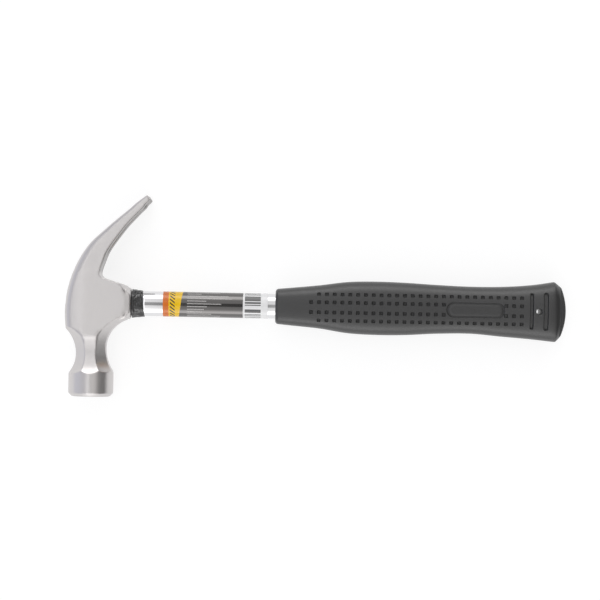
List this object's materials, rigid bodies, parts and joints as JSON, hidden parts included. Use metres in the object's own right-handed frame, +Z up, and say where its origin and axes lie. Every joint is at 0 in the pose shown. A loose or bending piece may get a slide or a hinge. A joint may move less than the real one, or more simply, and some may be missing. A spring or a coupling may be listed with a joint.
{
  "type": "claw hammer",
  "caption": "Curved claw hammer with a forged steel head, a chromed tubular steel handle and a moulded rubber grip, for driving and pulling nails.",
  "frame": {"origin": "centre of the bounding box's floor: the hammer lies on its side, as pictured", "axes": "+X along the handle from the head to the butt, +Y to the claw (-Y is the striking side), +Z up, square to the cheeks"},
  "size_m": [0.3202, 0.1291, 0.0288],
  "materials": {
    "head": "satin",
    "eye_sleeve": "gloss",
    "handle_tube": "polished",
    "locking_plug": "satin",
    "label": "gloss",
    "grip": "matt"
  },
  "bodies": {
    "root": {"head": "head", "eye_sleeve": "eye_sleeve", "handle_tube": "handle_tube", "locking_plug": "locking_plug", "label": "label", "grip": "grip"}
  },
  "joints": []
}
